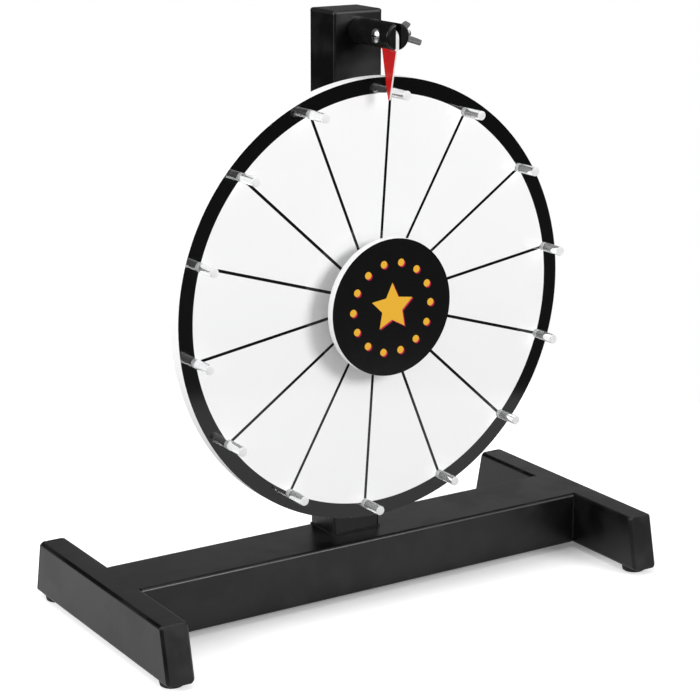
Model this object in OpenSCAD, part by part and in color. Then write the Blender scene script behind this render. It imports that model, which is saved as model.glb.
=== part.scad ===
// Tabletop carnival game wheel on a welded tube stand.
// A disc with clear pegs turns on a bolt through the post, and the pegs flick past a leaf pointer
// that is clamped in a slotted arm near the top of the post.
// Millimetres, +Z up, the wheel faces -Y. The origin is on the table under the middle of the base.

/* [Base] */
// Width over the two legs
base_w = 400; // [300:1:520]
// Length of a leg along its underside
leg_l = 199; // [160:1:260]
// Width of a leg tube
leg_w = 20; // [16:0.5:30]
// Height of the leg and crossbar tubes
tube_h = 38.5; // [30:0.5:50]
// How far each leg end slopes back between its underside and its top
leg_rake = 8.5; // [2:0.5:15]
// Depth of the crossbar tube from front to back
crossbar_d = 51; // [42:0.5:60]
// How far the crossbar's middle lies in front of the legs' middle
crossbar_forward = 1.5; // [0:0.5:10]
// Wall of the leg and crossbar tubes
tube_wall = 1.5; // [1.2:0.1:3]
// Outer corner radius of the leg and crossbar tubes
tube_r = 2.5; // [1:0.1:4]
// Thickness of the plates that close the leg ends
end_plate_t = 2; // [1:0.1:4]

/* [Feet] */
// Height of a rubber foot
foot_h = 4; // [3:0.1:8]
// Distance from a foot's rim to the side of its leg
foot_margin = 1.5; // [0.5:0.1:3]
// How much narrower a foot is at the table than at the leg, per side
foot_taper = 0.8; // [0:0.1:1.5]
// Distance from the end of a leg's underside to a foot's middle
foot_inset = 14; // [12:0.5:30]
// Thread diameter of a foot screw
foot_screw_d = 4; // [3:0.1:5]
// Head diameter of a foot screw
foot_head_d = 8; // [6:0.1:9]
// Head height of a foot screw
foot_head_h = 1.4; // [1:0.1:2]
// How far a foot screw's head lies above the table
foot_head_lift = 0.8; // [0.4:0.1:1]
// Length of foot screw that stands inside the leg
foot_screw_reach = 3; // [1:0.5:10]

/* [Post] */
// Width of the post tube
post_w = 38; // [32:0.5:50]
// Depth of the post tube from front to back
post_d = 31.5; // [26:0.5:40]
// Wall of the post tube
post_wall = 1.5; // [1.2:0.1:3]
// Outer corner radius of the post tube
post_r = 2; // [1:0.1:4]
// Height of the post's top above the pointer arm's middle
post_above_arm = 13.3; // [11.5:0.1:30]
// Thickness of the cap's plate
cap_t = 2.5; // [1.5:0.1:5]
// How far the cap's plate stands out past the post
cap_lip = 0.2; // [0.1:0.1:2]
// Depth of the cap's plug inside the post
cap_plug = 5; // [3:0.5:5]
// Wall of the cap's plug
cap_plug_wall = 2; // [1:0.1:3]

/* [Wheel] */
// Diameter of the wheel
wheel_d = 305; // [250:1:400]
// Clear height between the crossbar and the wheel
wheel_lift = 19.5; // [8:0.5:60]
// Thickness of the board
board_t = 9; // [6:0.5:12]
// Thickness of the printed sheet on the board's face
sheet_t = 1; // [0.5:0.1:2]
// Width of the printed rim band, with the pegs on its inner edge
rim_band_w = 10.2; // [8:0.1:20]

/* [Pegs] */
// Number of pegs
peg_count = 14; // [8:1:18]
// Diameter of a peg
peg_d = 6.35; // [4:0.05:8]
// Length of a peg in front of the wheel's face
peg_l = 20; // [15:0.5:22]
// Depth of a peg's seat, measured from the wheel's face
peg_seat = 6; // [3:0.5:6.5]
// Rounding of a peg's front edge
peg_edge = 0.5; // [0.1:0.1:1]
// Angle of the first peg, clockwise from the top as seen from the front
peg_phase = 3.8; // [3:0.1:9]

/* [Hub] */
// Diameter of the axle bolt
axle_d = 10; // [8:0.5:11]
// Width across flats of the axle's nuts and head
axle_af = 17; // [14:0.5:19]
// Height of the axle bolt's head
axle_head_h = 6.4; // [5:0.1:9]
// Thickness of the nut that locks the axle to the post
jam_nut_t = 5; // [4:0.1:7]
// Thickness of the nut that keeps the wheel on the axle
lock_nut_t = 6; // [5:0.1:9]
// Thickness of the large axle washers
axle_washer_t = 1.5; // [1:0.1:3]
// Outer diameter of the large axle washers
axle_washer_od = 21; // [18:0.5:26]
// Thickness of the small washers beside the bearings
shim_t = 1.2; // [0.8:0.1:2]
// Outer diameter of a bearing
bearing_od = 26; // [24:0.5:32]
// Width of a bearing
bearing_w = 8; // [6:0.1:8.5]
// Diameter of a bearing ball
ball_d = 4.76; // [3:0.01:5]
// Number of balls in a bearing
ball_count = 7; // [5:1:8]
// Distance from the middle of the balls to the rings' shoulders
race_land = 1.8; // [1.2:0.1:2]
// Wall of the hub's barrel round the bearings
barrel_wall = 3; // [2:0.1:4]
// How far the barrel stands in front of the wheel's face
barrel_front = 3; // [1:0.1:3.5]
// How far the barrel stands behind the wheel's back
barrel_back = 7; // [5:0.1:12]
// How far the shoulder between the bearings stands in from their outer rims
shoulder_h = 2; // [1:0.1:2]
// Thickness of the two flanges that clamp the wheel
flange_t = 4; // [3.6:0.1:4.5]
// Width of flange outside the hub screws' heads
flange_rim = 2.5; // [1:0.1:6]
// Number of hub screws
hub_screw_count = 4; // [3:1:6]
// Radius of the circle of hub screws
hub_screw_r = 26; // [24:0.5:30]
// Thread diameter of a hub screw
hub_screw_d = 4; // [3:0.1:4.5]
// Head diameter of a hub screw
hub_head_d = 8; // [6:0.1:8.5]
// Head height of a hub screw
hub_head_h = 2.4; // [1.5:0.1:3]
// Width across flats of a hub nut
hub_nut_af = 7; // [6:0.1:8]
// Thickness of a hub nut
hub_nut_t = 3.2; // [2:0.1:3.5]
// Length of thread that shows past a hub nut
hub_screw_tip = 0.8; // [0.2:0.1:1.2]

/* [Hub disc] */
// Diameter of the disc in front of the hub
hub_disc_d = 94.5; // [76:0.5:130]
// Thickness of that disc
hub_disc_t = 6; // [3:0.5:10]
// Thickness of the sticky ring behind it
pad_t = 1; // [0.5:0.1:2]
// Wall of the ring that carries it
carrier_wall = 3.4; // [2:0.1:5]

/* [Pointer arm] */
// Diameter of the arm
arm_d = 17.5; // [16.5:0.5:22]
// How far the arm's end stands in front of the wheel's face
arm_overhang = 23; // [21:0.5:30]
// Chamfer of the arm's front edge
arm_edge = 1.5; // [0.4:0.1:2]
// Depth of the flats for the clamp screw's head and washer
seat_sink = 1; // [0.6:0.1:1.6]
// Width of the slot in the arm
slot_w = 4; // [3.8:0.1:5]
// Distance from the arm's end to the clamp screw
clamp_inset = 13.2; // [11:0.1:15]
// Diameter of the bolt that holds the arm to the post
arm_bolt_d = 6; // [5:0.1:7]
// Width across flats of that bolt's head
arm_bolt_af = 10; // [9:0.5:12]
// Height of that bolt's head
arm_bolt_head_h = 4; // [3:0.1:6]
// Depth of that bolt's thread in the arm
arm_bolt_grip = 14; // [8:0.5:16]
// Thickness of that bolt's washer
arm_washer_t = 1.5; // [1:0.1:3]
// Outer diameter of that bolt's washer
arm_washer_od = 14; // [13:0.5:18]

/* [Clamp] */
// Thread diameter of the clamp screw
clamp_d = 5; // [4:0.1:6]
// Head diameter of the clamp screw
clamp_head_d = 9.2; // [8:0.1:10]
// Head height of the clamp screw
clamp_head_h = 3.2; // [2:0.1:4]
// Depth of the cross in the clamp screw's head
cross_depth = 1.6; // [0.8:0.1:1.8]
// Width of the cross in the clamp screw's head
cross_w = 1.1; // [0.8:0.1:1.6]
// Length of the cross in the clamp screw's head
cross_l = 5.2; // [3:0.1:6]
// Outer diameter of the washer under the wing nut
clamp_washer_od = 10; // [9:0.1:12]
// Thickness of that washer
clamp_washer_t = 1; // [0.5:0.1:2]
// Height of the wing nut's barrel
wing_barrel_h = 6; // [4:0.1:8]
// Diameter of the wing nut's barrel at its base
wing_barrel_d = 9.4; // [8.5:0.1:11]
// Diameter of the wing nut's barrel at its top
wing_barrel_top_d = 7.7; // [7:0.1:8.4]
// Distance from the screw's axis to the rim of a wing
wing_reach = 11.5; // [10:0.1:14]
// Height of the wings
wing_h = 14; // [12:0.1:16]
// Thickness of a wing
wing_t = 2; // [1.2:0.1:2.6]
// Width of a wing across its square end
wing_w = 4.4; // [4:0.1:6]
// Slope of that end
wing_lean = 38; // [20:1:50]
// Angle of the wings, upwards from straight back
wing_angle = 36; // [0:1:90]
// How far the wing nut can be backed off
wing_travel = 1.6; // [0.8:0.1:3.2]

/* [Pointer] */
// Length of the pointer from the clamp screw to its tip
pointer_l = 42.2; // [36:0.1:60]
// How far the tip reaches below the middle of a peg
tip_dip = 3.4; // [0:0.1:6]
// Thickness of the leaf's head
leaf_t = 3.4; // [2.4:0.1:3.6]
// Thickness of its blade
blade_t = 1.2; // [0.8:0.1:2]
// Half of the leaf's width at its head
leaf_half_w = 8.5; // [7:0.1:10]
// How far the leaf's middle stands in front of the clamp screw
leaf_forward = 3.5; // [0:0.1:4]
// Height of the leaf's head above the clamp screw
leaf_top = 4; // [4:0.1:8]
// Depth of the head's straight sides below the clamp screw
leaf_shoulder = 8.8; // [6:0.1:12]
// How far the thick head reaches below the arm
head_below = 1.6; // [0.5:0.1:3]
// Rounding of the head's corners
leaf_r = 5; // [2:0.1:6]
// Rounding of the tip
tip_r = 1.3; // [0.5:0.1:2]

/* [Clearances] */
// Radial clearance of a turning fit
running_fit = 0.05; // [0.02:0.01:0.1]
// Radial clearance of a fixed fit
fixed_fit = 0.02; // [0.01:0.01:0.1]
// Radial clearance of a screw's clearance hole
screw_clear = 0.15; // [0.05:0.05:0.3]
// Gap between flat faces that slide on each other
slide_gap = 0.05; // [0.02:0.01:0.2]
// Free space between parts that pass each other
pass_gap = 1; // [0.5:0.1:2]

/* [Hidden] */
$fn = 96;
corner_fn = 32;
// Smallest inside corner of a tube
inner_corner_r = 0.5;
// Overshoot of a cutting shape past the face that it cuts
cut = 1;

function peg_name(i) = str("peg_", i < 10 ? "0" : "", i);

// Each foot's name, side of the base and end of the leg
FEET = [
    ["front_left_foot", -1, -1],
    ["front_right_foot", 1, -1],
    ["back_left_foot", -1, 1],
    ["back_right_foot", 1, 1]
];

STAND_NODES = [
    "left_leg", "right_leg", "left_leg_end_plates", "right_leg_end_plates", "crossbar", "post", "post_cap",
    "front_left_foot", "front_right_foot", "back_left_foot", "back_right_foot", "foot_screws"
];
AXLE_NODES = [
    "axle_bolt", "axle_head_washer", "axle_post_washer", "axle_jam_nut", "rear_shim_washer",
    "front_shim_washer", "axle_lock_nut", "bearing_spacer", "front_bearing_inner_ring",
    "rear_bearing_inner_ring"
];
WHEEL_NODES = [
    "front_bearing_outer_ring", "rear_bearing_outer_ring", "front_bearing_balls", "rear_bearing_balls",
    "rear_hub", "front_flange", "hub_screws", "hub_nuts", "hub_disc_pad", "hub_disc", "wheel_board",
    "face_sheet"
];
POINTER_NODES = [
    "pointer_arm", "arm_bolt", "arm_bolt_washer", "clamp_screw", "pointer_head", "pointer_blade",
    "clamp_washer", "wing_nut"
];
PEG_NODES = [for (i = [1 : peg_count]) peg_name(i)];

// Base
base_top = foot_h + tube_h;
leg_x = base_w / 2 - leg_w / 2;
crossbar_l = base_w - 2 * leg_w;
crossbar_back = crossbar_d / 2 - crossbar_forward;
end_plate_y = end_plate_t / cos(atan(leg_rake / tube_h));
foot_d = leg_w - 2 * foot_margin;
foot_y = leg_l / 2 - foot_inset;

// Heights
wheel_z = base_top + wheel_lift + wheel_d / 2;
peg_circle_r = wheel_d / 2 - rim_band_w;
arm_z = wheel_z + peg_circle_r - tip_dip + pointer_l;
post_top = arm_z + post_above_arm;
post_l = post_top - cap_t - base_top;

// Positions along the axle, from the post's front face forwards
post_back = crossbar_back;
post_front = post_back - post_d;
jam_nut_y = post_front - axle_washer_t - jam_nut_t;
barrel_end_y = jam_nut_y - shim_t;
wheel_back_y = barrel_end_y - barrel_back;
wheel_y = wheel_back_y - board_t - sheet_t;
barrel_y = wheel_y - barrel_front;
front_shim_y = barrel_y - shim_t;
lock_nut_y = front_shim_y - lock_nut_t;
axle_tip_y = lock_nut_y - pass_gap;
hub_disc_back_y = axle_tip_y - pass_gap;
hub_disc_y = hub_disc_back_y - hub_disc_t;

// Hub
barrel_l = barrel_end_y - barrel_y;
barrel_d = bearing_od + 2 * fixed_fit + 2 * barrel_wall;
rear_bearing_y = barrel_end_y - bearing_w;
spacer_y = barrel_y + bearing_w;
spacer_l = rear_bearing_y - spacer_y;
bearing_bore = axle_d + 2 * fixed_fit;
ball_circle_r = (bearing_bore + bearing_od) / 4;
shim_od = 2 * (ball_circle_r - race_land);
flange_d = 2 * (hub_screw_r + hub_head_d / 2 + flange_rim);
carrier_od = 2 * hub_screw_r - hub_head_d - pass_gap;
carrier_id = carrier_od - 2 * carrier_wall;

// Pointer arm and clamp
arm_y = wheel_y - arm_overhang;
arm_l = post_front - arm_y;
clamp_y = arm_y + clamp_inset;
slot_l = clamp_inset + leaf_half_w + pass_gap;
seat_x = arm_d / 2 - seat_sink;
wing_nut_x = seat_x + clamp_washer_t + 2 * slide_gap;
clamp_tip_x = wing_nut_x + wing_barrel_h + wing_travel + pass_gap;
leaf_x = slide_gap - slot_w / 2;
leaf_split_z = -arm_d / 2 - head_below;

// Outline of a tube or a plate with rounded corners
module round_rect(w, d, r) {
    square([w - 2 * r, d], center = true);
    square([w, d - 2 * r], center = true);
    for (sx = [-1, 1])
        for (sy = [-1, 1])
            translate([sx * (w / 2 - r), sy * (d / 2 - r)])
                circle(r, $fn = corner_fn);
}

// Outline of a hollow tube
module tube_outline(w, d, wall, r) {
    difference() {
        round_rect(w, d, r);
        round_rect(w - 2 * wall, d - 2 * wall, max(r - wall, inner_corner_r));
    }
}

// Places a shape that rises along +Z so that it runs back along the axle from y
module on_axle(y) {
    translate([0, y, wheel_z])
        rotate([-90, 0, 0])
            children();
}

// The same on the pointer arm's axis
module on_arm(y) {
    translate([0, y, arm_z])
        rotate([-90, 0, 0])
            children();
}

// Places a shape that rises along +Z so that it runs to the right along the clamp screw from x
module on_clamp(x) {
    translate([x, clamp_y, arm_z])
        rotate([0, 90, 0])
            children();
}

// Sets a side outline, drawn as Y and Z, upright across the width w
module side_plate(w) {
    rotate([90, 0, 90])
        linear_extrude(w)
            children();
}

module ring(od, id, h) {
    difference() {
        cylinder(h = h, d = od);
        translate([0, 0, -cut])
            cylinder(h = h + 2 * cut, d = id);
    }
}

module hex_prism(af, h) {
    cylinder(h = h, d = af / cos(30), $fn = 6);
}

module hex_nut(af, bore, h) {
    difference() {
        hex_prism(af, h);
        translate([0, 0, -cut])
            cylinder(h = h + 2 * cut, d = bore);
    }
}

// A low domed screw head that rises from z = 0
module pan_head(d, h) {
    dome_h = h / 2;
    dome_r = (pow(d / 2, 2) + pow(dome_h, 2)) / (2 * dome_h);
    intersection() {
        cylinder(h = h, d = d);
        translate([0, 0, h - dome_r])
            sphere(dome_r);
    }
}

// Distance from the legs' middle to a leg's raked end at height z
function leg_end(z, inset) = leg_l / 2 - inset - leg_rake * (z - foot_h) / tube_h;

// Side outline of a leg, its raked ends drawn in by inset
module leg_side(inset) {
    low = foot_h - cut;
    high = base_top + cut;
    translate([-leg_w, 0, 0])
        side_plate(2 * leg_w)
            polygon([
                [-leg_end(low, inset), low],
                [leg_end(low, inset), low],
                [leg_end(high, inset), high],
                [-leg_end(high, inset), high]
            ]);
}

module leg(side) {
    translate([side * leg_x, 0, 0])
        difference() {
            intersection() {
                leg_side(end_plate_y);
                translate([0, 0, foot_h + tube_h / 2])
                    rotate([90, 0, 0])
                        linear_extrude(2 * leg_l, center = true)
                            tube_outline(leg_w, tube_h, tube_wall, tube_r);
            }
            for (end = [-1, 1])
                translate([0, end * foot_y, foot_h - cut])
                    cylinder(h = tube_wall + 2 * cut, d = foot_screw_d + 2 * screw_clear);
        }
}

module leg_end_plates(side) {
    translate([side * leg_x, 0, 0])
        intersection() {
            difference() {
                leg_side(0);
                leg_side(end_plate_y);
            }
            translate([0, 0, foot_h + tube_h / 2])
                rotate([90, 0, 0])
                    linear_extrude(2 * leg_l, center = true)
                        round_rect(leg_w, tube_h, tube_r);
        }
}

module left_leg() {
    color("#2b2b2c")
        leg(-1);
}

module right_leg() {
    color("#2b2b2c")
        leg(1);
}

module left_leg_end_plates() {
    color("#262627")
        leg_end_plates(-1);
}

module right_leg_end_plates() {
    color("#262627")
        leg_end_plates(1);
}

module crossbar() {
    color("#2b2b2c")
        translate([-crossbar_l / 2, crossbar_back - crossbar_d / 2, foot_h + tube_h / 2])
            side_plate(crossbar_l)
                tube_outline(crossbar_d, tube_h, tube_wall, tube_r);
}

module post() {
    color("#2b2b2c")
        difference() {
            translate([0, post_back - post_d / 2, base_top])
                linear_extrude(post_l)
                    tube_outline(post_w, post_d, post_wall, post_r);
            on_axle(post_front - cut)
                cylinder(h = post_d + 2 * cut, d = axle_d + 2 * screw_clear);
            on_arm(post_front - cut)
                cylinder(h = post_d + 2 * cut, d = arm_bolt_d + 2 * screw_clear);
        }
}

module post_cap() {
    plug_w = post_w - 2 * post_wall - 2 * screw_clear;
    plug_d = post_d - 2 * post_wall - 2 * screw_clear;
    color("#1f1f20")
        translate([0, post_back - post_d / 2, post_top - cap_t]) {
            linear_extrude(cap_t)
                round_rect(post_w + 2 * cap_lip, post_d + 2 * cap_lip, post_r + cap_lip);
            translate([0, 0, -cap_plug])
                linear_extrude(cap_plug)
                    tube_outline(plug_w, plug_d, cap_plug_wall, post_r / 2);
        }
}

module foot(side, end) {
    recess_d = foot_head_d + 2 * screw_clear;
    color("#161616")
        translate([side * leg_x, end * foot_y, 0])
            difference() {
                cylinder(h = foot_h, d1 = foot_d - 2 * foot_taper, d2 = foot_d);
                translate([0, 0, -cut])
                    cylinder(h = foot_head_lift + foot_head_h + cut, d = recess_d);
                cylinder(h = foot_h + cut, d = foot_screw_d + 2 * screw_clear);
            }
}

module foot_screws() {
    shank_l = foot_h + tube_wall + foot_screw_reach - foot_head_lift;
    color("silver")
        for (f = FEET)
            translate([f[1] * leg_x, f[2] * foot_y, foot_head_lift]) {
                cylinder(h = foot_head_h, d = foot_head_d);
                cylinder(h = shank_l, d = foot_screw_d);
            }
}

module axle_bolt() {
    head_y = post_back + axle_washer_t;
    color("silver") {
        on_axle(axle_tip_y)
            cylinder(h = head_y - axle_tip_y, d = axle_d);
        on_axle(head_y)
            hex_prism(axle_af, axle_head_h);
    }
}

module axle_washer(y) {
    color("silver")
        on_axle(y)
            ring(axle_washer_od, axle_d + 2 * screw_clear, axle_washer_t);
}

module axle_head_washer() {
    axle_washer(post_back);
}

module axle_post_washer() {
    axle_washer(post_front - axle_washer_t);
}

module axle_nut(y, t) {
    color("silver")
        on_axle(y)
            hex_nut(axle_af, axle_d + 2 * fixed_fit, t);
}

module axle_jam_nut() {
    axle_nut(jam_nut_y, jam_nut_t);
}

module axle_lock_nut() {
    axle_nut(lock_nut_y, lock_nut_t);
}

module shim_washer(y) {
    color("silver")
        on_axle(y)
            ring(shim_od, axle_d + 2 * fixed_fit, shim_t);
}

module rear_shim_washer() {
    shim_washer(barrel_end_y);
}

module front_shim_washer() {
    shim_washer(front_shim_y);
}

module bearing_spacer() {
    color("silver")
        on_axle(spacer_y)
            ring(shim_od, axle_d + 2 * fixed_fit, spacer_l);
}

// A bearing ring between two radii, with the balls' groove turned in it
module bearing_ring(y, inner_r, outer_r) {
    color("gainsboro")
        on_axle(y)
            rotate_extrude()
                difference() {
                    translate([inner_r, 0])
                        square([outer_r - inner_r, bearing_w]);
                    translate([ball_circle_r, bearing_w / 2])
                        circle(ball_d / 2 + running_fit);
                }
}

module inner_ring(y) {
    bearing_ring(y, bearing_bore / 2, ball_circle_r - race_land);
}

module outer_ring(y) {
    bearing_ring(y, ball_circle_r + race_land, bearing_od / 2);
}

module bearing_balls(y) {
    color("white")
        on_axle(y)
            for (i = [0 : ball_count - 1])
                rotate([0, 0, i * 360 / ball_count])
                    translate([ball_circle_r, 0, bearing_w / 2])
                        sphere(d = ball_d);
}

module front_bearing_inner_ring() {
    inner_ring(barrel_y);
}

module rear_bearing_inner_ring() {
    inner_ring(rear_bearing_y);
}

module front_bearing_outer_ring() {
    outer_ring(barrel_y);
}

module rear_bearing_outer_ring() {
    outer_ring(rear_bearing_y);
}

module front_bearing_balls() {
    bearing_balls(barrel_y);
}

module rear_bearing_balls() {
    bearing_balls(rear_bearing_y);
}

// Repeats a shape at each hub screw, running back from y
module at_hub_screws(y) {
    on_axle(y)
        for (i = [0 : hub_screw_count - 1])
            rotate([0, 0, (i + 0.5) * 360 / hub_screw_count])
                translate([hub_screw_r, 0, 0])
                    children();
}

module hub_screw_holes(y, l) {
    at_hub_screws(y - cut)
        cylinder(h = l + 2 * cut, d = hub_screw_d + 2 * screw_clear);
}

module rear_hub() {
    bearing_seat_d = bearing_od + 2 * fixed_fit;
    color("#8f9194")
        difference() {
            union() {
                on_axle(barrel_y)
                    cylinder(h = barrel_l, d = barrel_d);
                on_axle(wheel_back_y)
                    cylinder(h = flange_t, d = flange_d);
            }
            on_axle(barrel_y - cut)
                cylinder(h = barrel_l + 2 * cut, d = bearing_od - 2 * shoulder_h);
            on_axle(barrel_y - cut)
                cylinder(h = bearing_w + cut, d = bearing_seat_d);
            on_axle(rear_bearing_y)
                cylinder(h = bearing_w + cut, d = bearing_seat_d);
            hub_screw_holes(wheel_back_y, flange_t);
        }
}

module front_flange() {
    carrier_y = hub_disc_back_y + pad_t;
    color("#8f9194")
        difference() {
            union() {
                on_axle(wheel_y - flange_t)
                    cylinder(h = flange_t, d = flange_d);
                on_axle(carrier_y)
                    ring(carrier_od, carrier_id, wheel_y - carrier_y);
            }
            on_axle(wheel_y - flange_t - cut)
                cylinder(h = flange_t + 2 * cut, d = barrel_d + 2 * fixed_fit);
            hub_screw_holes(wheel_y - flange_t, flange_t);
        }
}

module hub_screws() {
    head_y = wheel_y - flange_t - hub_head_h;
    end_y = wheel_back_y + flange_t + hub_nut_t + hub_screw_tip;
    color("silver")
        at_hub_screws(head_y) {
            translate([0, 0, hub_head_h])
                mirror([0, 0, 1])
                    pan_head(hub_head_d, hub_head_h);
            translate([0, 0, hub_head_h / 2])
                cylinder(h = end_y - head_y - hub_head_h / 2, d = hub_screw_d);
        }
}

module hub_nuts() {
    color("silver")
        at_hub_screws(wheel_back_y + flange_t)
            hex_nut(hub_nut_af, hub_screw_d + 2 * fixed_fit, hub_nut_t);
}

module hub_disc_pad() {
    color("#d8d8d8")
        on_axle(hub_disc_back_y)
            ring(carrier_od, carrier_id, pad_t);
}

module hub_disc() {
    color("#161616")
        on_axle(hub_disc_y)
            cylinder(h = hub_disc_t, d = hub_disc_d);
}

// Repeats a shape at one peg's place, running back from y
module at_peg(i, y) {
    angle = peg_phase + (i - 1) * 360 / peg_count;
    translate([peg_circle_r * sin(angle), y, wheel_z + peg_circle_r * cos(angle)])
        rotate([-90, 0, 0])
            children();
}

// A disc of the wheel between two depths, with its hub, screw and peg holes
module wheel_layer(y, t) {
    hole_end = min(y + t + cut, wheel_y + peg_seat);
    difference() {
        on_axle(y)
            cylinder(h = t, d = wheel_d);
        on_axle(y - cut)
            cylinder(h = t + 2 * cut, d = barrel_d + 2 * fixed_fit);
        hub_screw_holes(y, t);
        for (i = [1 : peg_count])
            at_peg(i, y - cut)
                cylinder(h = hole_end - y + cut, d = peg_d + 2 * fixed_fit);
    }
}

module wheel_board() {
    color("whitesmoke")
        wheel_layer(wheel_y + sheet_t, board_t);
}

module face_sheet() {
    color("white")
        wheel_layer(wheel_y, sheet_t);
}

module peg(i) {
    r = peg_d / 2;
    l = peg_l + peg_seat;
    color("#dfe8ee", 0.5)
        at_peg(i, wheel_y - peg_l)
            rotate_extrude() {
                translate([0, peg_edge])
                    square([r, l - peg_edge]);
                square([r - peg_edge, l]);
                translate([r - peg_edge, peg_edge])
                    circle(peg_edge, $fn = corner_fn);
            }
}

module pointer_arm() {
    color("#2b2b2c")
        difference() {
            union() {
                on_arm(arm_y)
                    cylinder(h = arm_edge, d1 = arm_d - 2 * arm_edge, d2 = arm_d);
                on_arm(arm_y + arm_edge)
                    cylinder(h = arm_l - arm_edge, d = arm_d);
            }
            translate([-slot_w / 2, arm_y - cut, arm_z - arm_d])
                cube([slot_w, slot_l + cut, 2 * arm_d]);
            on_clamp(-arm_d)
                cylinder(h = 2 * arm_d, d = clamp_d + 2 * screw_clear);
            on_clamp(seat_x)
                cylinder(h = arm_d, d = clamp_washer_od + pass_gap);
            on_clamp(-seat_x - arm_d)
                cylinder(h = arm_d, d = clamp_head_d + 2 * screw_clear);
            on_arm(post_front - arm_bolt_grip)
                cylinder(h = arm_bolt_grip + cut, d = arm_bolt_d + 2 * fixed_fit);
        }
}

module arm_bolt() {
    head_y = post_back + arm_washer_t;
    tip_y = post_front - arm_bolt_grip + pass_gap;
    color("silver") {
        on_arm(tip_y)
            cylinder(h = head_y - tip_y, d = arm_bolt_d);
        on_arm(head_y)
            hex_prism(arm_bolt_af, arm_bolt_head_h);
    }
}

module arm_bolt_washer() {
    color("silver")
        on_arm(post_back)
            ring(arm_washer_od, arm_bolt_d + 2 * screw_clear, arm_washer_t);
}

module clamp_screw() {
    color("gainsboro") {
        difference() {
            on_clamp(-seat_x)
                mirror([0, 0, 1])
                    pan_head(clamp_head_d, clamp_head_h);
            for (turn = [0, 90])
                on_clamp(-seat_x - clamp_head_h - cut)
                    rotate([0, 0, turn])
                        translate([-cross_l / 2, -cross_w / 2, 0])
                            cube([cross_l, cross_w, cross_depth + cut]);
        }
        on_clamp(-seat_x - clamp_head_h + cross_depth + cut)
            cylinder(h = clamp_tip_x + seat_x + clamp_head_h - cross_depth - cut, d = clamp_d);
    }
}

module clamp_washer() {
    color("silver")
        on_clamp(seat_x + slide_gap)
            ring(clamp_washer_od, clamp_d + 2 * running_fit, clamp_washer_t);
}

// One wing, drawn in the plane of the screw's axis
module wing() {
    root_r = clamp_d / 2 + wing_t / 2;
    polygon([
        [root_r, wing_t / 2],
        [wing_barrel_d / 2 + wing_t, wing_barrel_h / 2],
        [wing_reach, wing_h - wing_w * sin(wing_lean)],
        [wing_reach - wing_w * cos(wing_lean), wing_h],
        [root_r, wing_barrel_h + wing_t]
    ]);
}

module wing_nut() {
    color("silver")
        on_clamp(wing_nut_x)
            rotate([0, 0, wing_angle])
                difference() {
                    union() {
                        cylinder(h = wing_barrel_h, d1 = wing_barrel_d, d2 = wing_barrel_top_d);
                        for (turn = [0, 180])
                            rotate([0, 0, turn])
                                translate([-wing_t / 2, 0, 0])
                                    side_plate(wing_t)
                                        wing();
                    }
                    translate([0, 0, -cut])
                        cylinder(h = wing_h + 2 * cut, d = clamp_d + 2 * running_fit);
                }
}

// Side outline of the leaf, drawn from its middle at the height of the clamp screw
module leaf_outline() {
    corner_z = leaf_top - leaf_r;
    tip_z = tip_r - pointer_l;
    run = -leaf_shoulder - tip_z;
    touch = atan2(run, leaf_half_w) - acos(tip_r / sqrt(pow(run, 2) + pow(leaf_half_w, 2)));
    touch_y = tip_r * cos(touch);
    touch_z = tip_z + tip_r * sin(touch);
    polygon([
        [-leaf_half_w, corner_z],
        [-leaf_half_w, -leaf_shoulder],
        [-touch_y, touch_z],
        [touch_y, touch_z],
        [leaf_half_w, -leaf_shoulder],
        [leaf_half_w, corner_z]
    ]);
    translate([leaf_r - leaf_half_w, corner_z])
        square([2 * (leaf_half_w - leaf_r), leaf_r]);
    for (s = [-1, 1])
        translate([s * (leaf_half_w - leaf_r), corner_z])
            circle(leaf_r, $fn = corner_fn);
    translate([0, tip_z])
        circle(tip_r, $fn = corner_fn);
}

// The part of the leaf between two heights above the clamp screw, t thick
module leaf(low, high, t) {
    color("#d8202a")
        translate([leaf_x + (leaf_t - t) / 2, clamp_y - leaf_forward, arm_z])
            side_plate(t)
                intersection() {
                    leaf_outline();
                    translate([-leaf_half_w - cut, low])
                        square([2 * (leaf_half_w + cut), high - low]);
                }
}

module pointer_head() {
    difference() {
        leaf(leaf_split_z, leaf_top + cut, leaf_t);
        on_clamp(-arm_d)
            cylinder(h = 2 * arm_d, d = clamp_d + 2 * running_fit);
    }
}

module pointer_blade() {
    leaf(-pointer_l - cut, leaf_split_z, blade_t);
}

left_leg();
right_leg();
left_leg_end_plates();
right_leg_end_plates();
crossbar();
post();
post_cap();
for (f = FEET)
    foot(f[1], f[2]);
foot_screws();
axle_bolt();
axle_head_washer();
axle_post_washer();
axle_jam_nut();
rear_shim_washer();
front_shim_washer();
axle_lock_nut();
bearing_spacer();
front_bearing_inner_ring();
rear_bearing_inner_ring();
front_bearing_outer_ring();
rear_bearing_outer_ring();
front_bearing_balls();
rear_bearing_balls();
rear_hub();
front_flange();
hub_screws();
hub_nuts();
hub_disc_pad();
hub_disc();
wheel_board();
face_sheet();
pointer_arm();
arm_bolt();
arm_bolt_washer();
clamp_screw();
pointer_head();
pointer_blade();
clamp_washer();
wing_nut();
for (i = [1 : peg_count])
    peg(i);
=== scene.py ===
import math

import bmesh
import bpy
from mathutils import Matrix, Vector, noise


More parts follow.
